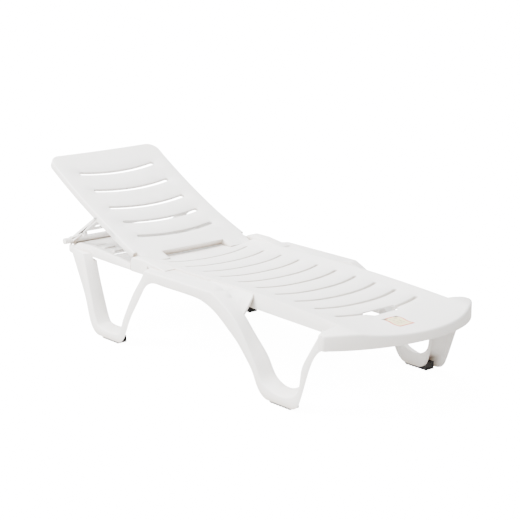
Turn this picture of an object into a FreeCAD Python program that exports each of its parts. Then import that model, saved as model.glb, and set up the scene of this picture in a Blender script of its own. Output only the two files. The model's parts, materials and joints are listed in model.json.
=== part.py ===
import FreeCAD, Part
import math
import os

# Reclining resin sun lounger.  Millimetres.
# Modelling frame: X is the width (right is +X), Y the length (head is +Y), Z is up from the floor.
# y = 0 lies at the ends of the seat's first slot.  The finished parts are moved along Y at the end,
# so that the origin is the bottom centre of the box round the lounger at rest.

V = FreeCAD.Vector

# ---- seat ------------------------------------------------------------------------------------
SEAT_HALF_WIDTH = 254.0
SEAT_HEAD_EDGE = 44.0
SEAT_TONGUE_HALF_WIDTH = 142.0
SEAT_TONGUE_END = 100.0
SEAT_CREST_Y = -450.0
SEAT_CREST_Z = 318.0
SEAT_HEAD_FALL = 5.0
SEAT_FOOT_FALL = 30.0
DISH_LINE = 184.0            # half-width at which the surface has its nominal height
DISH_DEPTH_HEAD = 7.0
DISH_DEPTH = 6.0
DISH_DEPTH_FOOT = 3.0
SKIN = 4.5
RAIL_BOTTOM_HEAD = 281.0
RAIL_BOTTOM_FOOT = 262.0
SLOT_COUNT = 10
SLOT_PITCH = 100.0
SLOT_HALF_LENGTH = 184.0
SLOT_BOW = 27.0
SLOT_WIDTH_HEAD = 10.0
SLOT_WIDTH_FOOT = 17.0
SLOT_WALL = 3.5
SLOT_WALL_DEPTH = 13.0
GRIP_REACH = 51.0
GRIP_WALL_DEPTH = 26.0

# ---- foot end --------------------------------------------------------------------------------
FOOT_END_Y = -1162.0
FOOT_ARC_RADIUS = 464.0
WING_HALF_WIDTH = 345.0
WING_HEAD_EDGE = -985.0
WING_CORNER_RADIUS = 18.0
WING_DROP = 14.0
WING_BOTTOM = 240.0
APRON_RISE = 12.0            # the apron's lower edge is this much higher at the middle
FOOT_EDGE_ROUND = 9.0

# ---- hinge -----------------------------------------------------------------------------------
HINGE_Y = 62.0
HINGE_Z = 306.0
HINGE_PIN_RADIUS = 7.0
PIN_RUNNING_GAP = 0.08
BOSS_WALL = 5.4
EAR_INNER = 254.0
EAR_OUTER = 300.0
EAR_FRONT = -16.0
EAR_REAR = 88.0
EAR_TOP = 335.0
EAR_BOTTOM = 281.0
EAR_TOE = -120.0

# ---- side frame ------------------------------------------------------------------------------
FRAME_HALF_WIDTH = 345.0
FRAME_DEPTH = 50.0
FRAME_WALL = 4.5
FRAME_TOP = 318.0
FRAME_TOP_FOOT = 290.0
FRAME_TOP_HEAD = 300.0
FRAME_UNDER_WING = 15.0      # how far the front limb reaches in below the seat's wing
STRIP_BOTTOM = 8.0
LEAN_START = 280.0
LEAN_END = 515.0
LEAN = 60.0
RIDGE_ROUND = 6.0
CREST_ROUND = 14.0
FLANGE_FOOT = -400.0
GUSSET_START = -330.0
GUSSET_FADE = -462.0
FLANGE_BOTTOM = 287.0
RAIL_SCREWS_Y = (-60.0, -160.0, -260.0, -360.0)
RAIL_SCREW_Z = 301.0

# ---- head frame ------------------------------------------------------------------------------
HEAD_END = 578.0
HEAD_RAIL_INNER = 283.0
HEAD_RAIL_OUTER = 300.0
HEAD_CORNER_RADIUS = 125.0
HEAD_WALL = 4.0
TONGUE_GAP = 4.0
TRAY_TOP = 291.5
TRAY_WELL = 287.5           # the backrest's lower rim rests over this part when it lies flat
TRAY_STEP = 312.0
TRAY_LIP = 289.0
TRAY_LIP_START = 557.0
RAIL_TOP_LINE = [(88.0, 306.0), (220.0, 318.0), (345.0, 326.0), (430.0, 322.0), (476.0, 293.0)]
RAIL_BOTTOM_LINE = [(578.0, 274.0), (400.0, 276.0), (345.0, 287.0), (200.0, 284.0), (88.0, 283.0)]
ARM_CHANNEL_FLOOR = 280.0
ARM_CHANNEL_START = 495.0
STOP_PITCH = 64.0
STOP_LAST = 525.0
STOP_HEIGHTS = (1.6, 3.8, 8.0, 8.0)
STOP_INNER = 152.0
STOP_OUTER = 204.0

# ---- backrest --------------------------------------------------------------------------------
BACK_TILT = 26.41
BACK_ORIGIN_Y = 81.0
BACK_ORIGIN_Z = 303.5
BACK_LENGTH = 681.0
BACK_HALF_WIDTH = 258.0
BACK_FLARE = 6.0
BACK_THICK = 25.0
BACK_WALL = 5.5
BACK_CURVE_CENTRE = 380.0
BACK_CURVE = 6400.0
BACK_CORNER_RADIUS = 46.0
BACK_SHOULDER = 46.0
TONGUE_HALF_WIDTH = 250.0
TONGUE_INNER = 148.0
BACK_RECESS = 28.0
BACK_TONGUE_END = -26.0
BACK_SLOTS = (142.0, 240.0, 338.0, 450.0, 560.0)
BACK_SLOT_HALF_LENGTH = 171.0
BACK_SLOT_BOW = 18.0
BACK_SLOT_WIDTH = 19.0

# ---- prop ------------------------------------------------------------------------------------
PROP_PIVOT_Y = 365.0
PROP_PIVOT_Z = 425.0
ROD_Y = 552.0
ROD_Z = 304.0
ROD_RADIUS = 12.0
ROD_HALF_LENGTH = 281.0
ROD_WALL = 2.0
ARM_INNER = 236.0
ARM_OUTER = 251.0
ARM_UPPER = 10.0
ARM_LOWER = 14.0
PROP_PIN_RADIUS = 4.0
LUG_REACH = 95.0
LUG_DROP = 12.8
LUG_RADIUS = 10.0
LUG_HOLE_RADIUS = 4.0

# ---- foot pads and fixings -------------------------------------------------------------------
SCREW_RADIUS = 2.5
SCREW_HEAD_RADIUS = 5.0
SCREW_HEAD_HEIGHT = 3.0
EAR_WALL = 6.0
EAR_SCREW_X = 290.0
EAR_SCREWS_Z = (288.5, 299.0)
EAR_SCREW_RADIUS = 1.8
EAR_SCREW_HEAD = 3.2
PAD_HEIGHT = 12.0
PAD_INNER = 299.8
PAD_OUTER = 340.2
REAR_PAD = (122.0, 222.0)
FRONT_PAD = (-846.0, -742.0)
PAD_SCREW_RADIUS = 2.2
PAD_SCREW_HEAD = 4.5

# ---- care label ------------------------------------------------------------------------------
LABEL_CENTRE = (-43.0, -1041.0)
LABEL_LENGTH = 88.0
LABEL_WIDTH = 68.0
LABEL_WAVE = 4.0
LABEL_THICK = 0.4

FAR = 2000.0


# ---- small helpers ---------------------------------------------------------------------------
def box(x, y, z):
    """A box from three (low, high) pairs."""
    return Part.makeBox(x[1] - x[0], y[1] - y[0], z[1] - z[0], V(x[0], y[0], z[0]))


def rod_x(radius, x, y, z):
    """A round bar along X from x[0] to x[1]."""
    return Part.makeCylinder(radius, x[1] - x[0], V(x[0], y, z), V(1, 0, 0))


def mirrored(shape):
    return shape.mirror(V(0, 0, 0), V(1, 0, 0))


def both(shape):
    return shape.fuse(mirrored(shape))


def spline(points, spacing=None):
    """Smooth curve through points.  Curves with one spacing correspond point by point in a loft."""
    curve = Part.BSplineCurve()
    if spacing:
        curve.interpolate(Points=points, Parameters=spacing)
    else:
        curve.interpolate(points)
    return curve.toShape()


def chord_spacing(points):
    """Running length along a list of side-view (y, z) points."""
    spacing = [0.0]
    for (y0, z0), (y1, z1) in zip(points, points[1:]):
        spacing.append(spacing[-1] + math.hypot(y1 - y0, z1 - z0))
    return spacing


def closed_face(edges):
    return Part.Face(Part.Wire(Part.__sortEdges__(edges)))


def polygon_face(points):
    return Part.Face(Part.makePolygon(points + [points[0]]))


def side_face(points, x=0.0):
    """A flat face in the side view from (y, z) points."""
    return polygon_face([V(x, y, z) for y, z in points])


def plan_face(points, z=0.0):
    """A flat face in the top view from (x, y) points."""
    return polygon_face([V(x, y, z) for x, y in points])


def surface_through(height, xs, ys):
    """A smooth sheet z = height(x, y) over a grid of stations."""
    sheet = Part.BSplineSurface()
    sheet.interpolate([[V(x, y, height(x, y)) for y in ys] for x in xs])
    return sheet.toShape()


def steps(low, high, count):
    return [low + (high - low) * i / (count - 1) for i in range(count)]


def under(sheet, depth, drop=0.0):
    """The solid between a sheet, lowered by drop, and its copy depth further down."""
    lowered = sheet.copy()
    lowered.translate(V(0, 0, -drop))
    return lowered.extrude(V(0, 0, -depth))


def bowed_slot(half_length, bow, width, y_end, grow=0.0):
    """Plan of a slot bowed towards the foot, with round ends; grow widens it all round."""
    radius = (half_length ** 2 + bow ** 2) / (2 * bow)
    centre_y = y_end - bow + radius
    half_angle = math.asin(half_length / radius)
    half = width / 2 + grow
    down = -math.pi / 2

    def on_arc(r, angle):
        return V(r * math.cos(angle), centre_y + r * math.sin(angle), 0)

    low, high = down - half_angle, down + half_angle
    outer = Part.Arc(on_arc(radius + half, low), on_arc(radius + half, down), on_arc(radius + half, high))
    inner = Part.Arc(on_arc(radius - half, low), on_arc(radius - half, down), on_arc(radius - half, high))
    spread = half / radius
    right = Part.Arc(on_arc(radius + half, high), on_arc(radius, high + spread), on_arc(radius - half, high))
    left = Part.Arc(on_arc(radius + half, low), on_arc(radius, low - spread), on_arc(radius - half, low))
    return closed_face([outer.toShape(), right.toShape(), inner.toShape(), left.toShape()])


def tall(face, low, high):
    """A plan face drawn at z = 0 made into a solid from low to high."""
    lowered = face.copy()
    lowered.translate(V(0, 0, low))
    return lowered.extrude(V(0, 0, high - low))


def fused(shapes):
    first = shapes[0]
    return first.fuse(shapes[1:]).removeSplitter() if len(shapes) > 1 else first


# ---- seat deck -------------------------------------------------------------------------------
def seat_line(y):
    """Height of the seat at the slot ends."""
    if y > SEAT_CREST_Y:
        return SEAT_CREST_Z - SEAT_HEAD_FALL * ((y - SEAT_CREST_Y) / -SEAT_CREST_Y) ** 2
    return SEAT_CREST_Z - SEAT_FOOT_FALL * ((SEAT_CREST_Y - y) / (SEAT_CREST_Y - FOOT_END_Y)) ** 1.5


def dish_depth(y):
    if y > SEAT_CREST_Y:
        return DISH_DEPTH + (DISH_DEPTH_HEAD - DISH_DEPTH) * min(1.0, (y - SEAT_CREST_Y) / -SEAT_CREST_Y)
    along = (SEAT_CREST_Y - y) / (SEAT_CREST_Y - FOOT_END_Y)
    return DISH_DEPTH + (DISH_DEPTH_FOOT - DISH_DEPTH) * along ** 3


def seat_height(x, y):
    across = min(abs(x), SEAT_HALF_WIDTH)
    height = seat_line(y) + dish_depth(y) * ((across / DISH_LINE) ** 3 - 1)
    beyond = max(0.0, abs(x) - SEAT_HALF_WIDTH) / (WING_HALF_WIDTH - SEAT_HALF_WIDTH)
    return height - WING_DROP * beyond ** 1.5


def seat_outline(inset):
    """Top view of the seat moulding, every edge moved in by inset."""
    half = SEAT_HALF_WIDTH - inset
    wing = WING_HALF_WIDTH - inset
    wing_head = WING_HEAD_EDGE - inset
    radius = FOOT_ARC_RADIUS - inset
    centre_y = FOOT_END_Y + FOOT_ARC_RADIUS
    corner_y = centre_y - math.sqrt(radius ** 2 - wing ** 2)
    right, left = V(wing, corner_y, 0), V(-wing, corner_y, 0)
    arc = Part.Arc(right, V(0, centre_y - radius, 0), left).toShape()
    head = SEAT_HEAD_EDGE - inset
    tongue, tip = SEAT_TONGUE_HALF_WIDTH - inset, SEAT_TONGUE_END - inset
    path = [left, V(-wing, wing_head, 0), V(-half, wing_head, 0), V(-half, head, 0),
            V(-tongue, head, 0), V(-tongue, tip, 0), V(tongue, tip, 0), V(tongue, head, 0),
            V(half, head, 0), V(half, wing_head, 0), V(wing, wing_head, 0), right]
    edges = [Part.makeLine(a, b) for a, b in zip(path, path[1:])]
    return closed_face([arc] + edges)


def rail_profile(rise):
    """Side view of everything above the seat moulding's lower edge, raised by rise."""
    low_wing = WING_BOTTOM + rise
    return side_face([
        (FOOT_END_Y - 10, low_wing), (WING_HEAD_EDGE + 1, low_wing),
        (WING_HEAD_EDGE + 40, RAIL_BOTTOM_FOOT + rise), (SEAT_TONGUE_END + 10, RAIL_BOTTOM_HEAD + rise),
        (SEAT_TONGUE_END + 10, 400), (FOOT_END_Y - 10, 400)], -FAR)


def seat_body(sheet, inset, drop):
    """The seat moulding as a full volume, or its hollow when inset and drop are the wall."""
    plan = tall(seat_outline(inset), 200, 400)
    profile = rail_profile(0.0 if inset == 0 else -60.0).extrude(V(2 * FAR, 0, 0))
    return under(sheet, 160, drop).common(plan).common(profile)


def apron_arch():
    """A wide shallow barrel that lifts the apron's lower edge at the middle."""
    half = WING_HALF_WIDTH + 5
    radius = (half ** 2 + APRON_RISE ** 2) / (2 * APRON_RISE)
    crown = WING_BOTTOM + APRON_RISE
    barrel = Part.makeCylinder(radius, 150, V(0, FOOT_END_Y - 5, crown - radius), V(0, 1, 0))
    return barrel.common(box((-half, half), (FOOT_END_Y - 5, FOOT_END_Y + 145), (200, crown + 1)))


def grip_hole(grow=0.0):
    """The hand hole that opens the last slot towards the foot, or a larger one for the wall round it."""
    last = -(SLOT_COUNT - 1) * SLOT_PITCH
    foot = last - GRIP_REACH - grow
    face = plan_face([(-80 - grow, last - 8), (72 + grow, last - 8), (54 + grow, foot), (-64 - grow, foot - 3),
                      (-80 - grow, foot + 18)])
    solid = tall(face, 230, 400)
    uprights = [e for e in solid.Edges if abs(e.Vertexes[0].Z - e.Vertexes[-1].Z) > 100]
    return solid.makeFillet(7.0, uprights)


def seat_sheet():
    across = steps(-WING_HALF_WIDTH - 5, WING_HALF_WIDTH + 5, 29)
    return surface_through(seat_height, across, steps(FOOT_END_Y - 12, SEAT_TONGUE_END + 12, 39))


def build_seat_deck():
    sheet = seat_sheet()
    outside = seat_body(sheet, 0.0, 0.0).cut(apron_arch())
    uprights = [e for e in outside.Edges
                if abs(e.Vertexes[0].Z - e.Vertexes[-1].Z) > 30
                and abs(e.Vertexes[0].X) > WING_HALF_WIDTH - 1 and e.Vertexes[0].Y < WING_HEAD_EDGE - 2]
    outside = outside.makeFillet(WING_CORNER_RADIUS, uprights)
    crown = [e for e in outside.Edges
             if e.CenterOfMass.y < WING_HEAD_EDGE - 3 and e.CenterOfMass.z > 265
             and abs(e.Vertexes[0].Z - e.Vertexes[-1].Z) < 20 and e.Length > 20]
    outside = outside.makeFillet(FOOT_EDGE_ROUND, crown)
    hollow = seat_body(sheet, SKIN, SKIN)
    shell = outside.cut(hollow)

    slots = []
    walls = []
    for i in range(SLOT_COUNT):
        y_end = -i * SLOT_PITCH
        width = SLOT_WIDTH_HEAD + (SLOT_WIDTH_FOOT - SLOT_WIDTH_HEAD) * i / (SLOT_COUNT - 1)
        slots.append(tall(bowed_slot(SLOT_HALF_LENGTH, SLOT_BOW, width, y_end), 230, 400))
        walls.append(tall(bowed_slot(SLOT_HALF_LENGTH, SLOT_BOW, width, y_end, SLOT_WALL), 230, 400))
    webs = under(sheet, SLOT_WALL_DEPTH, SKIN / 2).common(fused(walls))
    grip_wall = under(sheet, GRIP_WALL_DEPTH, SKIN / 2).common(grip_hole(SLOT_WALL))
    spine_low = RAIL_BOTTOM_FOOT + 18
    spines = []
    for x in (-120, 0, 120):
        spine = box((x - 2, x + 2), (FOOT_END_Y + 90, SEAT_HEAD_EDGE - 1), (spine_low, 330))
        spines.append(spine.common(under(sheet, 60, SKIN / 2)))
    shell = shell.fuse([webs, grip_wall] + spines)
    shell = shell.cut(fused(slots)).cut(grip_hole())

    ear, ear_block = build_ear()
    shell = shell.fuse(both(ear))
    return shell.removeSplitter(), outside.fuse(both(ear_block))


def build_ear():
    """One hinge ear: a hollow block with a rounded top and a boss for the hinge pin."""
    toe_low, toe_high = FRAME_TOP, FRAME_TOP + 3
    profile = side_face([(EAR_FRONT, EAR_BOTTOM), (EAR_REAR, EAR_BOTTOM), (EAR_REAR, EAR_TOP),
                         (EAR_FRONT + 16, EAR_TOP), (EAR_TOE / 2, EAR_TOP - 7), (EAR_TOE, toe_high),
                         (EAR_TOE, toe_low), (EAR_FRONT, toe_low)], EAR_INNER)
    ear = profile.extrude(V(EAR_OUTER - EAR_INNER, 0, 0))
    heel = [e for e in ear.Edges if e.CenterOfMass.z > EAR_TOP - 1 and e.CenterOfMass.y > EAR_REAR - 1]
    ear = ear.makeFillet(20.0, heel)
    outer_top = [e for e in ear.Edges
                 if e.CenterOfMass.x > EAR_OUTER - 1 and e.CenterOfMass.z > FRAME_TOP + 4]
    ear = ear.makeFillet(5.0, outer_top)
    pocket = box((EAR_INNER + EAR_WALL, EAR_OUTER - EAR_WALL), (EAR_FRONT + EAR_WALL, EAR_REAR - EAR_WALL),
                 (EAR_BOTTOM - 1, EAR_TOP - 8))
    boss = rod_x(HINGE_PIN_RADIUS + BOSS_WALL, (EAR_INNER + 1, EAR_OUTER - 1), HINGE_Y, HINGE_Z)
    hollow_ear = ear.cut(pocket).fuse(boss)
    return hollow_ear.cut(rod_x(HINGE_PIN_RADIUS, (EAR_INNER - 5, EAR_OUTER - 4), HINGE_Y, HINGE_Z)), ear


# ---- side frame ------------------------------------------------------------------------------
# Side-view points (y, z) of the ribbon.  The hole outlines are given twice: on the outer face
# and on the inner face, where the moulding's draft makes them smaller.
REAR_EDGE = [(520, 304), (480, 275), (425, 226), (370, 172), (330, 120), (300, 58), (278, 28),
             (240, STRIP_BOTTOM)]
REAR_EDGE_IN = [(512, 304), (470, 275), (414, 226), (358, 172), (317, 120), (286, 58), (264, 28),
                (232, STRIP_BOTTOM)]
ARCH_EDGE = [(108, STRIP_BOTTOM), (84, 22), (68, 44), (38, 106), (-6, 174), (-43, 228), (-67, 259),
             (-101, 278), (-160, 281), (-237, 281), (-330, 281), (-371, 279), (-424, 267), (-476, 244), (-528, 210),
             (-580, 173), (-625, 129), (-663, 83), (-688, 38), (-706, 20), (-735, STRIP_BOTTOM)]
ARCH_EDGE_IN = [(166, STRIP_BOTTOM), (144, 22), (128, 44), (98, 106), (52, 174), (10, 228), (-26, 262),
                (-80, 281), (-156, 284), (-237, 284), (-330, 284), (-374, 282), (-430, 270), (-484, 246), (-538, 212),
                (-592, 174), (-640, 130), (-679, 83), (-705, 38), (-722, 20), (-750, STRIP_BOTTOM)]
FOOT_EDGE = [(-862, STRIP_BOTTOM), (-886, 20), (-904, 52), (-928, 118), (-953, 182), (-980, 224),
             (-1014, 246)]
FOOT_EDGE_IN = [(-812, STRIP_BOTTOM), (-838, 20), (-855, 52), (-872, 118), (-896, 182), (-926, 224),
                (-962, 250)]
REAR_HOLE = [(356, 312), (318, 220), (278, 123), (256, 66), (240, 44), (214, 36), (140, 36), (108, 44),
             (91, 76), (54, 150), (10, 221), (-32, 276), (-62, 324)]
REAR_HOLE_IN = [(340, 312), (300, 220), (260, 123), (240, 74), (226, 55), (204, 49), (160, 49), (136, 56),
                (121, 84), (84, 150), (40, 221), (-2, 276), (-32, 324)]
FRONT_HOLE = [(-430, 320), (-500, 291), (-550, 262), (-600, 218), (-645, 158), (-681, 105), (-712, 60),
              (-745, 46), (-850, 46), (-882, 66), (-905, 150), (-945, 220), (-1000, 300)]
FRONT_HOLE_IN = [(-462, 318), (-520, 288), (-562, 256), (-604, 216), (-650, 174), (-692, 131), (-724, 84),
                 (-752, 65), (-832, 65), (-852, 82), (-866, 150), (-904, 220), (-957, 300)]


def pushed(points, distance):
    """Open outline moved sideways, away from the hole it runs round."""
    moved = []
    last = len(points) - 1
    for i, (y, z) in enumerate(points):
        y0, z0 = points[max(0, i - 1)]
        y1, z1 = points[min(last, i + 1)]
        length = math.hypot(y1 - y0, z1 - z0)
        moved.append((y - (z1 - z0) / length * distance, z + (y1 - y0) / length * distance))
    return moved


def drafted_solid(outer, inner, lid, widths, grow=0.0):
    """Solid across the frame whose outline runs from outer, on the outer face, to inner, on the inner face.

    The outline is closed by a flat lid: ("z", height) or ("y", place)."""
    spacing = chord_spacing(outer)
    sections = []
    for half_width in widths:
        share = (FRAME_HALF_WIDTH - half_width) / FRAME_DEPTH
        points = [(ya + (yb - ya) * share, za + (zb - za) * share) for (ya, za), (yb, zb) in zip(outer, inner)]
        if grow:
            points = pushed(points, grow)
        curve = [V(half_width, y, z) for y, z in points]
        first, last = curve[0], curve[-1]
        if lid[0] == "z":
            corners = [V(half_width, last.y, lid[1]), V(half_width, first.y, lid[1])]
        else:
            corners = [V(half_width, lid[1], last.z), V(half_width, lid[1], first.z)]
        path = [last] + corners + [first]
        edges = [spline(curve, spacing)] + [Part.makeLine(a, b) for a, b in zip(path, path[1:])]
        sections.append(Part.Wire(edges))
    return Part.makeLoft(sections, True, True)


def hole_solids(grow=0.0):
    """The leg holes: the front one between the frame's faces, the rear one also across the leaning limb."""
    return [drafted_solid(REAR_HOLE, REAR_HOLE_IN, ("z", 350.0), (347.0, 225.0), grow),
            drafted_solid(FRONT_HOLE, FRONT_HOLE_IN, ("z", 350.0), (347.0, 293.0), grow)]


def edge_solids():
    """What lies outside the frame's outline: under the arch, beyond the front leg, behind the rear leg."""
    return [drafted_solid(ARCH_EDGE, ARCH_EDGE_IN, ("z", -30.0), (347.0, 293.0)),
            drafted_solid(FOOT_EDGE, FOOT_EDGE_IN, ("y", -1100.0), (347.0, 293.0)),
            drafted_solid(REAR_EDGE, REAR_EDGE_IN, ("y", 600.0), (347.0, 225.0))]


def frame_outer_width(y):
    lean = max(0.0, y - LEAN_START) / (LEAN_END - LEAN_START)
    return FRAME_HALF_WIDTH - LEAN * lean ** 1.25


def frame_plan(outer_inset, inner_inset, low, high):
    """Plan band of the side frame between its outer and inner faces."""
    straight_end = LEAN_START - 60
    stations = steps(LEAN_START - 60, 545, 9)
    outer = [V(frame_outer_width(y) - outer_inset, y, 0) for y in stations]
    inner = [V(frame_outer_width(y) - FRAME_DEPTH + inner_inset, y, 0) for y in stations]
    foot = WING_HEAD_EDGE - FRAME_UNDER_WING
    outer_foot = V(FRAME_HALF_WIDTH - outer_inset, foot, 0)
    inner_foot = V(FRAME_HALF_WIDTH - FRAME_DEPTH + inner_inset, foot, 0)
    outer_knee = V(outer_foot.x, straight_end, 0)
    inner_knee = V(inner_foot.x, straight_end, 0)
    edges = [Part.makeLine(outer_foot, outer_knee), spline([outer_knee] + outer[1:]),
             Part.makeLine(outer[-1], inner[-1]), spline([inner_knee] + inner[1:]),
             Part.makeLine(inner_knee, inner_foot), Part.makeLine(inner_foot, outer_foot)]
    return tall(closed_face(edges), low, high)


def top_envelope(drop):
    """Everything below the side frame's top: wing height at the foot, shelf, rail height at the head."""
    foot, head = WING_HEAD_EDGE + 55, EAR_REAR - 28
    profile = side_face([(-1100, -50), (-1100, FRAME_TOP_FOOT - drop), (foot, FRAME_TOP_FOOT - drop),
                         (foot, FRAME_TOP - drop), (head, FRAME_TOP - drop), (head, FRAME_TOP_HEAD - drop),
                         (560, FRAME_TOP_HEAD - drop), (560, -50)])
    return profile.extrude(V(400, 0, 0))


def round_ridges(solid, holes):
    """Round the shelf's ends, then the edges where the outer face turns in towards the holes and the top."""
    crests = [e for e in solid.Edges
              if min(v.Z for v in e.Vertexes) > FRAME_TOP - 0.1 and e.CenterOfMass.y > -200
              and abs(e.Vertexes[0].X - e.Vertexes[-1].X) > 30]
    solid = solid.makeFillet(CREST_ROUND, crests)
    ridges = []
    for edge in solid.Edges:
        marks = edge.discretize(5)
        on_face = all(abs(p.x - frame_outer_width(p.y)) < 0.5 for p in marks)
        on_top = marks[2].z > FRAME_TOP - CREST_ROUND / 2
        on_hole = any(hole.distToShape(Part.Vertex(marks[2]))[0] < 0.05 for hole in holes)
        if on_face and (on_top or on_hole):
            ridges.append(edge)
    return solid.makeFillet(RIDGE_ROUND, ridges)


def build_ledge():
    """The shelf that carries the ribbon in to the seat rail."""
    start = EAR_FRONT - 4
    reach = FRAME_HALF_WIDTH - FRAME_DEPTH + FRAME_WALL - SEAT_HALF_WIDTH
    rail = SEAT_HALF_WIDTH
    slab = box((rail, rail + reach), (GUSSET_FADE, start), (FRAME_TOP - FRAME_WALL, FRAME_TOP))
    flange = box((rail, rail + FRAME_WALL), (FLANGE_FOOT, start), (FLANGE_BOTTOM, FRAME_TOP - 1))
    fade = plan_face([(rail - 4, GUSSET_START), (rail + reach, GUSSET_FADE), (rail + reach, GUSSET_FADE - 20),
                      (rail - 4, GUSSET_FADE - 20)])
    return slab.cut(tall(fade, 100, 400)).fuse(flange)


def build_gusset():
    """Sloping web between the seat rail and the front limb's inner edge, where the shelf fades out."""
    inner = FRAME_HALF_WIDTH - FRAME_DEPTH + FRAME_WALL
    stations = [(GUSSET_START, SEAT_HALF_WIDTH + 2, 317), (GUSSET_FADE, inner, 315), (-520, inner, 288),
                (-562, inner, 256)]
    sections = []
    for y, reach, low in stations:
        ridge = [V(SEAT_HALF_WIDTH, y, FRAME_TOP + 3), V(reach, y, low), V(SEAT_HALF_WIDTH, y, low - 7)]
        sections.append(Part.makePolygon(ridge + [ridge[0]]))
    wedge = Part.makeLoft(sections, True, True)
    hollow = wedge.copy()
    hollow.translate(V(-FRAME_WALL, 0, -FRAME_WALL))
    return wedge.cut(hollow)


def build_side_frame(seat_outside, head_outside):
    solid = frame_plan(0.0, 0.0, STRIP_BOTTOM, 400).common(top_envelope(0.0))
    for void in edge_solids() + hole_solids():
        solid = solid.cut(void)
    solid = round_ridges(solid, hole_solids())
    hollow = frame_plan(FRAME_WALL, FRAME_WALL, -30, 400).common(top_envelope(FRAME_WALL))
    for hole in hole_solids(FRAME_WALL):
        hollow = hollow.cut(hole)
    shell = solid.cut(hollow)
    ribs = [box((200, 400), (y, y + 3), (255, 400)) for y in range(-420, -60, 60)]
    shell = shell.fuse([solid.common(hollow).common(rib) for rib in ribs])
    shell = shell.fuse([build_ledge(), build_gusset()])
    over_tray = box((200, HEAD_RAIL_OUTER), (EAR_REAR, 700), (RAIL_BOTTOM_LINE[0][1], 400))
    return shell.cut([seat_outside, head_outside, over_tray]).removeSplitter()


# ---- head frame ------------------------------------------------------------------------------
def head_plan(inset, low, high):
    """Plan of the head frame with two large round corners, walls moved in by inset."""
    half = HEAD_RAIL_OUTER - inset
    solid = box((-half, half), (EAR_REAR + inset, HEAD_END - inset), (low, high))
    corners = [e for e in solid.Edges
               if abs(e.Vertexes[0].Z - e.Vertexes[-1].Z) > 10 and e.CenterOfMass.y > HEAD_END / 2]
    return solid.makeFillet(HEAD_CORNER_RADIUS - inset, corners)


def head_body(inset):
    """The head frame as a full volume, or its hollow, open below, when inset is the wall."""
    lower = RAIL_BOTTOM_LINE if inset == 0 else [(HEAD_END + 9, 200.0), (EAR_REAR - 9, 200.0)]
    upper = [(y, z - inset) for y, z in RAIL_TOP_LINE]
    upper[0] = (EAR_REAR - 9 if inset else EAR_REAR, upper[0][1])
    profile = side_face(upper + [(HEAD_END + 9, upper[-1][1])] + lower, -FAR).extrude(V(2 * FAR, 0, 0))
    body = head_plan(inset, 200, 400).common(profile)
    inner = HEAD_RAIL_INNER + inset
    tray = box((-inner, inner), (TRAY_STEP - 10, TRAY_LIP_START - inset), (TRAY_TOP - inset, 400))
    well = box((-inner, inner), (EAR_REAR - 10, TRAY_STEP - inset), (TRAY_WELL - inset, 400))
    lip = box((-FAR, FAR), (TRAY_LIP_START - inset, HEAD_END + 10), (TRAY_LIP - inset, 400))
    rear = box((-FAR, FAR), (RAIL_TOP_LINE[-1][0], HEAD_END + 10), (TRAY_TOP - inset, 400))
    channel = box((ARM_INNER - 5 - inset, ARM_OUTER + 5 + inset), (ARM_CHANNEL_START - inset, HEAD_END + 10),
                  (ARM_CHANNEL_FLOOR - inset, 400))
    return body.cut([tray, well, lip, rear, both(channel)])


def tray_stops():
    """Low round stops on the tray that the prop's rod stands against, two in each row."""
    stops = []
    for i, height in enumerate(STOP_HEIGHTS):
        y = STOP_LAST - i * STOP_PITCH
        block = box((STOP_INNER, STOP_OUTER), (y - 9, y + 9), (TRAY_TOP - 1, TRAY_TOP + height))
        top = [e for e in block.Edges if e.CenterOfMass.z > TRAY_TOP + height - 0.1]
        stops.append(both(block.makeFillet(min(4.0, height * 0.8), top)))
    return stops


def build_head_frame():
    notch_half = SEAT_TONGUE_HALF_WIDTH + TONGUE_GAP
    notch = box((-notch_half, notch_half), (EAR_REAR - 1, SEAT_TONGUE_END + TONGUE_GAP), (200, 400))
    outside = head_body(0.0)
    shell = outside.cut(head_body(HEAD_WALL)).fuse(tray_stops()).cut(notch)
    return shell.removeSplitter(), outside


# ---- backrest --------------------------------------------------------------------------------
def to_back(shape):
    """Place a shape drawn in the backrest's own frame (x, along, out) where it rests."""
    placed = shape.copy()
    placed.rotate(V(0, 0, 0), V(1, 0, 0), BACK_TILT)
    placed.translate(V(0, BACK_ORIGIN_Y, BACK_ORIGIN_Z))
    return placed


def back_point(y, z):
    """A side-view point in the backrest's own frame."""
    tilt = math.radians(BACK_TILT)
    dy, dz = y - BACK_ORIGIN_Y, z - BACK_ORIGIN_Z
    return dy * math.cos(tilt) + dz * math.sin(tilt), dz * math.cos(tilt) - dy * math.sin(tilt)


def back_height(x, along):
    return (along - BACK_CURVE_CENTRE) ** 2 / BACK_CURVE - 1.5 + 3.0 * ((abs(x) / BACK_HALF_WIDTH) ** 2 - 1)


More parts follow.
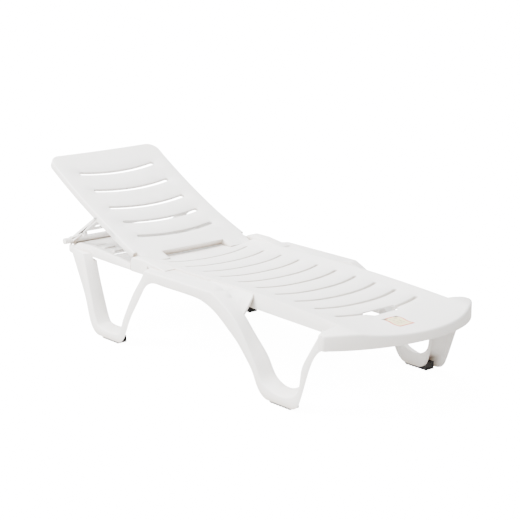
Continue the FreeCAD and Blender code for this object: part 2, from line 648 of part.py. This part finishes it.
def back_outline(inset):
    """Plan of the backrest: round top corners, a slight flare low down, two tongues and a recess."""
    half = BACK_HALF_WIDTH - inset
    flare = half + BACK_FLARE
    top = BACK_LENGTH - inset
    r = BACK_CORNER_RADIUS - inset
    c = r * (1 - math.cos(math.pi / 4))
    low = BACK_TONGUE_END + inset
    right = [V(half, top - r, 0), V(half, 200, 0), V(flare, BACK_SHOULDER + inset, 0),
             V(TONGUE_HALF_WIDTH - inset, BACK_SHOULDER + inset, 0), V(TONGUE_HALF_WIDTH - inset, low, 0),
             V(TONGUE_INNER + inset, low, 0), V(TONGUE_INNER + inset, BACK_RECESS + inset, 0)]
    left = [V(-p.x, p.y, 0) for p in reversed(right)]
    edges = [Part.makeLine(V(-half + r, top, 0), V(half - r, top, 0)),
             Part.Arc(V(half - r, top, 0), V(half - c, top - c, 0), V(half, top - r, 0)).toShape(),
             Part.Arc(V(-half + r, top, 0), V(-half + c, top - c, 0), V(-half, top - r, 0)).toShape()]
    path = right + left
    edges += [Part.makeLine(a, b) for a, b in zip(path, path[1:])]
    return closed_face(edges)


def build_backrest():
    sheet = surface_through(back_height, steps(-275, 275, 15), steps(-45, BACK_LENGTH + 10, 25))
    outside = under(sheet, BACK_THICK).common(tall(back_outline(0.0), -60, 60))
    rim = [e for e in outside.Edges
           if e.CenterOfMass.z > back_height(e.CenterOfMass.x, e.CenterOfMass.y) - 6
           and abs(e.Vertexes[0].Z - e.Vertexes[-1].Z) < 50 and e.CenterOfMass.y > 100]
    outside = outside.makeFillet(5.0, rim)
    hollow = under(sheet, BACK_THICK + 10, BACK_WALL).common(tall(back_outline(BACK_WALL), -80, 60))
    shell = outside.cut(hollow)
    slots = []
    walls = []
    for along in BACK_SLOTS:
        slots.append(tall(bowed_slot(BACK_SLOT_HALF_LENGTH, BACK_SLOT_BOW, BACK_SLOT_WIDTH, along), -60, 60))
        walls.append(tall(bowed_slot(BACK_SLOT_HALF_LENGTH, BACK_SLOT_BOW, BACK_SLOT_WIDTH, along, 3.5), -60, 60))
    webs = under(sheet, 8.0, BACK_WALL / 2).common(fused(walls))
    ribs = []
    for x in (-198, 198):
        rib = box((x - 1.75, x + 1.75), (20, BACK_LENGTH - 2), (-60, 60))
        ribs.append(rib.common(under(sheet, 11.0, BACK_WALL / 2)))
    shell = shell.fuse([webs] + ribs).cut(fused(slots))

    hinge_along, hinge_out = back_point(HINGE_Y, HINGE_Z)
    boss = rod_x(HINGE_PIN_RADIUS + BOSS_WALL, (TONGUE_HALF_WIDTH - 34, TONGUE_HALF_WIDTH),
                 hinge_along, hinge_out)
    pivot_along, pivot_out = back_point(PROP_PIVOT_Y, PROP_PIVOT_Z)
    shell = shell.fuse(both(boss))
    shell = shell.cut(both(rod_x(HINGE_PIN_RADIUS + PIN_RUNNING_GAP, (TONGUE_HALF_WIDTH - 30, 300),
                                 hinge_along, hinge_out)))
    shell = shell.cut(rod_x(PROP_PIN_RADIUS, (-300, 300), pivot_along, pivot_out))
    return to_back(shell.removeSplitter())


# ---- prop ------------------------------------------------------------------------------------
PROP_LENGTH = math.hypot(ROD_Y - PROP_PIVOT_Y, ROD_Z - PROP_PIVOT_Z)
PROP_ANGLE = math.degrees(math.atan2(ROD_Z - PROP_PIVOT_Z, ROD_Y - PROP_PIVOT_Y))


def to_prop(shape):
    """Place a shape drawn along +Y from the prop's pivot where it rests."""
    placed = shape.copy()
    placed.rotate(V(0, 0, 0), V(1, 0, 0), PROP_ANGLE)
    placed.translate(V(0, PROP_PIVOT_Y, PROP_PIVOT_Z))
    return placed


def build_prop_frame():
    wide = (ARM_INNER, ARM_OUTER)
    arm = box(wide, (0, PROP_LENGTH), (-ARM_LOWER + 4, ARM_UPPER))
    eye = rod_x(ARM_UPPER, wide, 0, 0)
    end = rod_x(ROD_RADIUS + 3.5, wide, PROP_LENGTH, 0)
    lug = rod_x(LUG_RADIUS, wide, PROP_LENGTH - LUG_REACH, -LUG_DROP)
    web = box((-ARM_OUTER + 2, ARM_OUTER - 2), (24, 112), (-ARM_LOWER + 4, -ARM_LOWER + 8))
    brace = box((-ARM_OUTER + 2, ARM_OUTER - 2), (24, 28), (-ARM_LOWER + 4, 2))
    lip = box((-ARM_OUTER + 2, ARM_OUTER - 2), (108, 112), (-ARM_LOWER + 4, 2))
    opening = tall(plan_face([(-180, 48), (180, 48), (150, 90), (-150, 90)]), -30, 10)
    windows = both(box((200, 226), (58, 84), (-30, 10)))
    frame = both(fused([arm, eye, end, lug])).fuse([web, brace, lip]).cut(opening).cut(windows)
    frame = frame.cut(rod_x(ROD_RADIUS, (-300, 300), PROP_LENGTH, 0))
    frame = frame.cut(rod_x(PROP_PIN_RADIUS + PIN_RUNNING_GAP, (-300, 300), 0, 0))
    frame = frame.cut(rod_x(LUG_HOLE_RADIUS, (-300, 300), PROP_LENGTH - LUG_REACH, -LUG_DROP))
    return to_prop(frame.removeSplitter())


def build_prop_rod():
    tube = rod_x(ROD_RADIUS, (-ROD_HALF_LENGTH + 3, ROD_HALF_LENGTH - 3), ROD_Y, ROD_Z)
    return tube.cut(rod_x(ROD_RADIUS - ROD_WALL, (-300, 300), ROD_Y, ROD_Z))


def build_rod_cap():
    """Plug that closes the right end of the prop's tube."""
    disc = rod_x(ROD_RADIUS, (ROD_HALF_LENGTH - 3, ROD_HALF_LENGTH), ROD_Y, ROD_Z)
    stub = rod_x(ROD_RADIUS - ROD_WALL, (ROD_HALF_LENGTH - 18, ROD_HALF_LENGTH - 3), ROD_Y, ROD_Z)
    return disc.fuse(stub)


def build_prop_pivot():
    """Pin that joins the prop's right arm to the backrest's rim."""
    return rod_x(PROP_PIN_RADIUS, (ARM_INNER - 1.5, BACK_HALF_WIDTH + 6), PROP_PIVOT_Y, PROP_PIVOT_Z)


def build_hinge_pin():
    return rod_x(HINGE_PIN_RADIUS, (TONGUE_HALF_WIDTH - 29, EAR_OUTER - 4), HINGE_Y, HINGE_Z)


# ---- foot pads, screws, label ----------------------------------------------------------------
def pad_screw_places(span):
    middle = (span[0] + span[1]) / 2
    reach = (span[1] - span[0]) / 4
    return (middle - reach, middle + reach)


def build_foot_pad(span):
    """Rubber sole: a block in the channel's mouth with tread bars that reach the floor."""
    pad = box((PAD_INNER, PAD_OUTER), span, (2.5, PAD_HEIGHT + 14))
    bars = []
    count = 7
    pitch = (span[1] - span[0]) / count
    for i in range(count):
        start = span[0] + i * pitch
        bars.append(box((PAD_INNER, PAD_OUTER), (start, start + pitch * 0.7), (0, 4)))
    pad = fused([pad] + bars)
    for y in pad_screw_places(span):
        x = (PAD_INNER + PAD_OUTER) / 2
        pad = pad.cut(Part.makeCylinder(PAD_SCREW_RADIUS, 60, V(x, y, -1)))
        pad = pad.cut(Part.makeCylinder(PAD_SCREW_HEAD, 7, V(x, y, -1)))
    return pad


def build_pad_screws():
    screws = []
    x = (PAD_INNER + PAD_OUTER) / 2
    for span in (REAR_PAD, FRONT_PAD):
        for y in pad_screw_places(span):
            shank = Part.makeCylinder(PAD_SCREW_RADIUS, PAD_HEIGHT + 14 - 3.5, V(x, y, 3.5))
            head = Part.makeCylinder(PAD_SCREW_HEAD, 2.5, V(x, y, 3.5))
            screw = head.fuse(shank)
            screws += [screw, mirrored(screw)]
    return Part.makeCompound(screws)


def rail_screws(radius, head_radius):
    """Screws that hold the side frames to the seat rails, put in from inside the rails."""
    screws = []
    for y in RAIL_SCREWS_Y:
        inner = SEAT_HALF_WIDTH - SKIN
        head = rod_x(head_radius, (inner - SCREW_HEAD_HEIGHT, inner), y, RAIL_SCREW_Z)
        shank = rod_x(radius, (inner, SEAT_HALF_WIDTH + FRAME_WALL + 5), y, RAIL_SCREW_Z)
        screw = head.fuse(shank)
        screws += [screw, mirrored(screw)]
    return screws


def ear_screws():
    """Screws that hold the head frame's rails to the backs of the hinge ears."""
    screws = []
    for z in EAR_SCREWS_Z:
        wall = EAR_REAR - EAR_WALL
        start = V(EAR_SCREW_X, wall - SCREW_HEAD_HEIGHT, z)
        head = Part.makeCylinder(EAR_SCREW_HEAD, SCREW_HEAD_HEIGHT, start, V(0, 1, 0))
        grip = EAR_WALL + HEAD_WALL + 6
        shank = Part.makeCylinder(EAR_SCREW_RADIUS, grip, V(EAR_SCREW_X, wall, z), V(0, 1, 0))
        screw = head.fuse(shank)
        screws += [screw, mirrored(screw)]
    return screws


def build_care_label():
    """Thin label with wavy long edges, lying on the foot end's surface."""
    x, y = LABEL_CENTRE
    half, reach = LABEL_WIDTH / 2, LABEL_LENGTH / 2

    def wavy(side):
        marks = steps(-reach, reach, 9)
        return [V(x + side * half + LABEL_WAVE * math.sin(a / reach * math.pi), y + a, 0) for a in marks]

    right, left = wavy(1), wavy(-1)
    face = closed_face([spline(right), Part.makeLine(right[-1], left[-1]), spline(left),
                        Part.makeLine(left[0], right[0])])
    sheet = seat_sheet()
    return under(sheet, LABEL_THICK, -LABEL_THICK).common(tall(face, 200, 400))


def export(name, shape):
    shape.exportStep("parts/" + name + ".step")
    volume = round(shape.Volume / 1000.0, 1)
    print(name, "solids", len(shape.Solids), "valid", shape.isValid(), "volume", volume)


def main():
    os.makedirs("parts", exist_ok=True)
    seat_deck, seat_outside = build_seat_deck()
    head_frame, head_outside = build_head_frame()
    side_frame = build_side_frame(seat_outside, head_outside)
    backrest = build_backrest()
    prop_frame = build_prop_frame()
    rail_fixings = rail_screws(SCREW_RADIUS, SCREW_HEAD_RADIUS)
    ear_fixings = ear_screws()
    seat_deck = seat_deck.cut(rail_fixings + ear_fixings)
    side_frame = side_frame.cut(rail_fixings)
    head_frame = head_frame.cut(ear_fixings)
    parts = {
        "seat_deck": seat_deck,
        "care_label": build_care_label(),
        "side_frame_screws": Part.makeCompound(rail_fixings),
        "head_frame_screws": Part.makeCompound(ear_fixings),
        "head_frame": head_frame,
        "side_frame_right": side_frame,
        "side_frame_left": mirrored(side_frame),
        "backrest_panel": backrest,
        "prop_frame": prop_frame,
        "prop_rod": build_prop_rod(),
        "prop_rod_cap_right": build_rod_cap(),
        "prop_rod_cap_left": mirrored(build_rod_cap()),
        "prop_pivot_right": build_prop_pivot(),
        "prop_pivot_left": mirrored(build_prop_pivot()),
        "hinge_pin_right": build_hinge_pin(),
        "hinge_pin_left": mirrored(build_hinge_pin()),
        "foot_pad_screws": build_pad_screws(),
    }
    for place, span in (("rear", REAR_PAD), ("front", FRONT_PAD)):
        pad = build_foot_pad(span)
        parts["foot_pad_" + place + "_right"] = pad
        parts["foot_pad_" + place + "_left"] = mirrored(pad)

    boxes = [shape.optimalBoundingBox(False, False) for shape in parts.values()]
    low = min(b.YMin for b in boxes)
    high = max(b.YMax for b in boxes)
    shift = V(0, -(low + high) / 2, 0)
    print("moved along Y by", round(shift.y, 3), "length", round(high - low, 2), "height",
          round(max(b.ZMax for b in boxes), 2))
    for name, shape in parts.items():
        shape.translate(shift)
        export(name, shape)


main()
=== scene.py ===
import json
import math

import bpy
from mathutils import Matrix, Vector

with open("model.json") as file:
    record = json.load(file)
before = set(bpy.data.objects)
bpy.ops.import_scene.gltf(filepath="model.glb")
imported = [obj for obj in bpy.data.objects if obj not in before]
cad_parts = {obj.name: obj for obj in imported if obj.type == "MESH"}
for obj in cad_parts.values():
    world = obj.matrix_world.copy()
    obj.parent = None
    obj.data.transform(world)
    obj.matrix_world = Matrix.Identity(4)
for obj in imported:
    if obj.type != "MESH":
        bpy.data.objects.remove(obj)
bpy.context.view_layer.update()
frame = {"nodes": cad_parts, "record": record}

# ---- driving values (metres, degrees) ----------------------------------------------------------
CAMERA_AZIMUTH = -40.38
CAMERA_ELEVATION = 14.19
CAMERA_LENS = 110.54         # millimetres, as Blender gives lenses
CAMERA_SENSOR = 36.0         # millimetres
CAMERA_FAR = 100.0
CAMERA_OFFSET = Vector((-3.6227, -4.3231, 1.7601))   # from the lounger's bottom centre

RESIN_LIGHT = (0.85, 0.83, 0.81, 1.0)
RESIN_COOL = (0.82, 0.81, 0.80, 1.0)
# painted shade: warm brown mixed into the resin's recesses by ambient occlusion
RESIN_PAINTED_SHADE = (0.50, 0.40, 0.30, 1.0)
RUBBER = (0.012, 0.012, 0.013, 1.0)
RUBBER_DUSTY = (0.035, 0.033, 0.030, 1.0)
ZINC = (0.60, 0.61, 0.62, 1.0)
ZINC_DULL = (0.40, 0.40, 0.39, 1.0)
LABEL_CREAM = (0.78, 0.70, 0.42, 1.0)
LABEL_RED = (0.62, 0.06, 0.02, 1.0)
LABEL_INK = (0.16, 0.12, 0.08, 1.0)
LABEL_WAVE = 0.0526          # sideways swing of the label's long edges, as a share of its box
LABEL_HALF = 0.447           # half its width, as a share of its box

WORLD_DARK = 0.9
WORLD_BRIGHT = 4.2
KEY_POWER = 480.0
OVERHEAD_POWER = 260.0
FLOOR_BOUNCE = (0.5, 0.48, 0.45, 1.0)
FLOOR_GLOW = 14.0            # lifts the floor and backdrop to white where the camera sees them
FLOOR_SIZE = 60.0
FLOOR_DROP = 0.0005          # the floor lies this far below the soles
FLOOR_LIGHT = (0.9, 0.9, 0.9, 1.0)
FLOOR_DULL = (0.88, 0.88, 0.88, 1.0)
LAMP_TARGET = (0.0, 0.0, 0.3)
LAMPS = {
    "key": ((-3.4, 1.8, 3.0), 2.2, KEY_POWER),
    "overhead": ((0.2, 0.8, 4.0), 3.0, OVERHEAD_POWER),
}
KEY_SIDE = Vector((-0.72, 0.45, 0.53))   # where most of the soft light comes from


# ---- node helpers ------------------------------------------------------------------------------
class Nodes:
    """Short names for making and joining shader nodes in one material."""

    def __init__(self, name):
        self.material = bpy.data.materials.new(name)
        self.material.use_nodes = True
        self.tree = self.material.node_tree
        self.shader = self.tree.nodes["Principled BSDF"]

    def add(self, kind, **values):
        node = self.tree.nodes.new(kind)
        for key, value in values.items():
            if key in node.inputs:
                node.inputs[key].default_value = value
            else:
                setattr(node, key, value)
        return node

    def join(self, output, target):
        self.tree.links.new(output, target)

    def noise(self, scale, detail=3.0, stretch=None):
        coords = self.add("ShaderNodeTexCoord")
        source = coords.outputs["Object"]
        if stretch:
            mapping = self.add("ShaderNodeMapping")
            mapping.inputs["Scale"].default_value = stretch
            self.join(source, mapping.inputs["Vector"])
            source = mapping.outputs["Vector"]
        noise = self.add("ShaderNodeTexNoise", Scale=scale, Detail=detail)
        self.join(source, noise.inputs["Vector"])
        return noise.outputs["Fac"]

    def mix(self, factor, low, high):
        node = self.add("ShaderNodeMix", data_type="RGBA")
        for value, socket in ((low, node.inputs[6]), (high, node.inputs[7])):
            if isinstance(value, tuple):
                socket.default_value = value
            else:
                self.join(value, socket)
        if isinstance(factor, float):
            node.inputs[0].default_value = factor
        else:
            self.join(factor, node.inputs[0])
        return node.outputs[2]

    def math(self, operation, a, b=0.0):
        node = self.add("ShaderNodeMath", operation=operation)
        for value, socket in ((a, node.inputs[0]), (b, node.inputs[1])):
            if isinstance(value, (int, float)):
                socket.default_value = value
            else:
                self.join(value, socket)
        return node.outputs[0]

    def ramp(self, factor, low, high):
        """0 below low, 1 above high."""
        node = self.add("ShaderNodeMapRange")
        node.inputs["From Min"].default_value = low
        node.inputs["From Max"].default_value = high
        self.join(factor, node.inputs["Value"])
        return node.outputs["Result"]

    def bump(self, height, strength, distance):
        node = self.add("ShaderNodeBump", Strength=strength, Distance=distance)
        self.join(height, node.inputs["Height"])
        self.join(node.outputs["Normal"], self.shader.inputs["Normal"])
        return node


def resin_material(name, shade_weight):
    """Satin moulded resin: fine grain, faint flow marks, and painted warm shade darkening the
    moulding's recesses through ambient occlusion.
    """
    n = Nodes(name)
    cloud = n.noise(3.0, 2.0)
    fine = n.noise(900.0, 2.0)
    flow = n.noise(9.0, 3.0, (1.0, 0.25, 1.0))
    base = n.mix(n.ramp(cloud, 0.35, 0.65), RESIN_LIGHT, RESIN_COOL)
    # painted shade: the colour darkens toward a warm brown where ambient occlusion finds nearby
    # surfaces
    occlusion = n.add("ShaderNodeAmbientOcclusion", Distance=0.06)
    occlusion.samples = 8
    shade_mask = n.ramp(occlusion.outputs["AO"], 0.75, 0.15)
    painted_shade = n.math("MULTIPLY", shade_mask, shade_weight)
    n.join(n.mix(painted_shade, base, RESIN_PAINTED_SHADE), n.shader.inputs["Base Color"])
    rough = n.math("ADD", n.math("MULTIPLY", flow, 0.16), 0.36)
    n.join(rough, n.shader.inputs["Roughness"])
    n.shader.inputs["IOR"].default_value = 1.49
    n.shader.inputs["Subsurface Weight"].default_value = 0.06
    n.shader.inputs["Subsurface Radius"].default_value = (0.006, 0.004, 0.003)
    n.bump(fine, 0.12, 0.0006)
    return n.material


def rubber_material():
    n = Nodes("foot_rubber")
    grain = n.noise(600.0, 4.0)
    dust = n.noise(40.0, 3.0)
    n.join(n.mix(n.ramp(dust, 0.5, 0.75), RUBBER, RUBBER_DUSTY), n.shader.inputs["Base Color"])
    n.join(n.math("ADD", n.math("MULTIPLY", grain, 0.25), 0.6), n.shader.inputs["Roughness"])
    n.bump(grain, 0.4, 0.0008)
    return n.material


def zinc_material():
    n = Nodes("zinc_steel")
    brushed = n.noise(200.0, 3.0, (0.1, 1.0, 1.0))
    n.join(n.mix(brushed, ZINC, ZINC_DULL), n.shader.inputs["Base Color"])
    n.join(n.math("ADD", n.math("MULTIPLY", brushed, 0.2), 0.28), n.shader.inputs["Roughness"])
    n.shader.inputs["Metallic"].default_value = 1.0
    n.bump(brushed, 0.15, 0.0003)
    return n.material


def label_material():
    """Generic printed label: cream field, red border and rows of plain marks, with no lettering."""
    n = Nodes("care_label")
    coords = n.add("ShaderNodeTexCoord")
    split = n.add("ShaderNodeSeparateXYZ")
    n.join(coords.outputs["Generated"], split.inputs[0])
    x, y = split.outputs["X"], split.outputs["Y"]
    along = n.math("SUBTRACT", n.math("MULTIPLY", y, 2.0), 1.0)
    wave = n.math("MULTIPLY", n.math("SINE", n.math("MULTIPLY", along, math.pi)), LABEL_WAVE)
    across = n.math("ABSOLUTE", n.math("SUBTRACT", n.math("SUBTRACT", x, 0.5), wave))
    from_side = n.math("SUBTRACT", LABEL_HALF, across)
    from_end = n.math("MINIMUM", y, n.math("SUBTRACT", 1.0, y))
    nearest = n.math("MINIMUM", from_side, from_end)
    border = n.math("SUBTRACT", 1.0, n.ramp(nearest, 0.055, 0.075))
    rows = n.math("GREATER_THAN", n.math("SINE", n.math("MULTIPLY", y, 42.0)), 0.25)
    gaps = n.math("GREATER_THAN", n.noise(260.0, 1.0, (1.0, 0.2, 1.0)), 0.46)
    inside = n.math("GREATER_THAN", nearest, 0.2)
    marks = n.math("MULTIPLY", n.math("MULTIPLY", rows, gaps), inside)
    field = n.mix(n.math("MULTIPLY", marks, 0.75), LABEL_CREAM, LABEL_INK)
    head_end = n.math("GREATER_THAN", y, 0.86)
    corners = n.math("MULTIPLY", head_end, n.math("GREATER_THAN", across, 0.22))
    edge = n.mix(corners, n.mix(border, field, LABEL_RED), LABEL_INK)
    n.join(edge, n.shader.inputs["Base Color"])
    n.join(n.math("ADD", n.math("MULTIPLY", n.noise(80.0), 0.2), 0.3), n.shader.inputs["Roughness"])
    return n.material


# ---- finishing the CAD nodes -------------------------------------------------------------------
def soften(node, width, angle=math.radians(40)):
    """Round the moulding's sharp edges a little and shade its curved faces smoothly."""
    weld = node.modifiers.new("weld", "WELD")
    weld.merge_threshold = WELD_GAP
    bevel = node.modifiers.new("edge_round", "BEVEL")
    bevel.width = width
    bevel.segments = 2
    bevel.limit_method = "ANGLE"
    bevel.angle_limit = angle
    bevel.use_clamp_overlap = True
    bevel.harden_normals = True
    node.data.polygons.foreach_set("use_smooth", [True] * len(node.data.polygons))
    node.data.set_sharp_from_angle(angle=angle)


def paint(node, material):
    node.data.materials.clear()
    node.data.materials.append(material)


# the second argument sets how strongly painted warm shade darkens the resin's recesses
RESIN = resin_material("white_resin", 0.85)
FINISH = {
    "resin": RESIN,
    "rod_tube": resin_material("white_sleeve", 0.4),
    "foot_rubber": rubber_material(),
    "steel": zinc_material(),
    "label": label_material(),
}
WELD_GAP = 0.00002
EDGE_ROUND = {"resin": 0.0012, "rod_tube": 0.0004, "foot_rubber": 0.0008, "steel": 0.0003}

for part in frame["record"]["subparts"]:
    node = frame["nodes"][part["node"]]
    slot = part["material_slot"]
    paint(node, FINISH[slot])
    if slot in EDGE_ROUND:
        soften(node, EDGE_ROUND[slot])


# ---- floor, light, camera ----------------------------------------------------------------------
def floor_material():
    """Pale studio floor: nearly white to the camera, a duller bounce on the lounger's underside."""
    n = Nodes("pale_floor")
    seen = n.add("ShaderNodeLightPath").outputs["Is Camera Ray"]
    grain = n.ramp(n.noise(4.0), 0.3, 0.7)
    pale = n.mix(grain, FLOOR_LIGHT, FLOOR_DULL)
    n.join(n.mix(seen, FLOOR_BOUNCE, pale), n.shader.inputs["Base Color"])
    n.shader.inputs["Roughness"].default_value = 0.9
    n.shader.inputs["Specular IOR Level"].default_value = 0.1
    n.shader.inputs["Emission Color"].default_value = (1.0, 1.0, 1.0, 1.0)
    n.join(n.math("MULTIPLY", seen, FLOOR_GLOW), n.shader.inputs["Emission Strength"])
    return n.material


def build_floor():
    bpy.ops.mesh.primitive_plane_add(size=FLOOR_SIZE, location=(0.0, 0.0, -FLOOR_DROP))
    floor = bpy.context.object
    floor.name = "floor"
    floor.data.materials.append(floor_material())


def area_light(name, place, target, size, power):
    data = bpy.data.lights.new(name, "AREA")
    data.shape = "SQUARE"
    data.size = size
    data.energy = power
    lamp = bpy.data.objects.new(name, data)
    lamp.location = place
    lamp.rotation_euler = (Vector(target) - Vector(place)).to_track_quat("-Z", "Y").to_euler()
    bpy.context.scene.collection.objects.link(lamp)


def build_light():
    world = bpy.data.worlds.new("studio")
    world.use_nodes = True
    bpy.context.scene.world = world
    tree = world.node_tree
    background = tree.nodes["Background"]
    background.inputs["Color"].default_value = (1.0, 0.99, 0.97, 1.0)
    coords = tree.nodes.new("ShaderNodeTexCoord")
    facing = tree.nodes.new("ShaderNodeVectorMath")
    facing.operation = "DOT_PRODUCT"
    facing.inputs[1].default_value = KEY_SIDE.normalized()
    tree.links.new(coords.outputs["Generated"], facing.inputs[0])
    strength = tree.nodes.new("ShaderNodeMapRange")
    strength.inputs["From Min"].default_value = -0.4
    strength.inputs["From Max"].default_value = 0.9
    strength.inputs["To Min"].default_value = WORLD_DARK
    strength.inputs["To Max"].default_value = WORLD_BRIGHT
    tree.links.new(facing.outputs["Value"], strength.inputs["Value"])
    seen = tree.nodes.new("ShaderNodeLightPath")
    choose = tree.nodes.new("ShaderNodeMix")
    tree.links.new(seen.outputs["Is Camera Ray"], choose.inputs[0])
    tree.links.new(strength.outputs["Result"], choose.inputs[2])
    choose.inputs[3].default_value = FLOOR_GLOW
    tree.links.new(choose.outputs[0], background.inputs["Strength"])
    for name, (place, size, power) in LAMPS.items():
        area_light(name, place, LAMP_TARGET, size, power)


def build_camera():
    azimuth, elevation = math.radians(CAMERA_AZIMUTH), math.radians(CAMERA_ELEVATION)
    back = Vector((math.sin(azimuth) * math.cos(elevation), -math.cos(azimuth) * math.cos(elevation),
                   math.sin(elevation)))
    data = bpy.data.cameras.new("camera")
    data.lens = CAMERA_LENS
    data.sensor_width = CAMERA_SENSOR
    data.clip_end = CAMERA_FAR
    camera = bpy.data.objects.new("camera", data)
    camera.location = CAMERA_OFFSET
    camera.rotation_euler = (-back).to_track_quat("-Z", "Y").to_euler()
    bpy.context.scene.collection.objects.link(camera)
    bpy.context.scene.camera = camera


build_floor()
build_light()
build_camera()
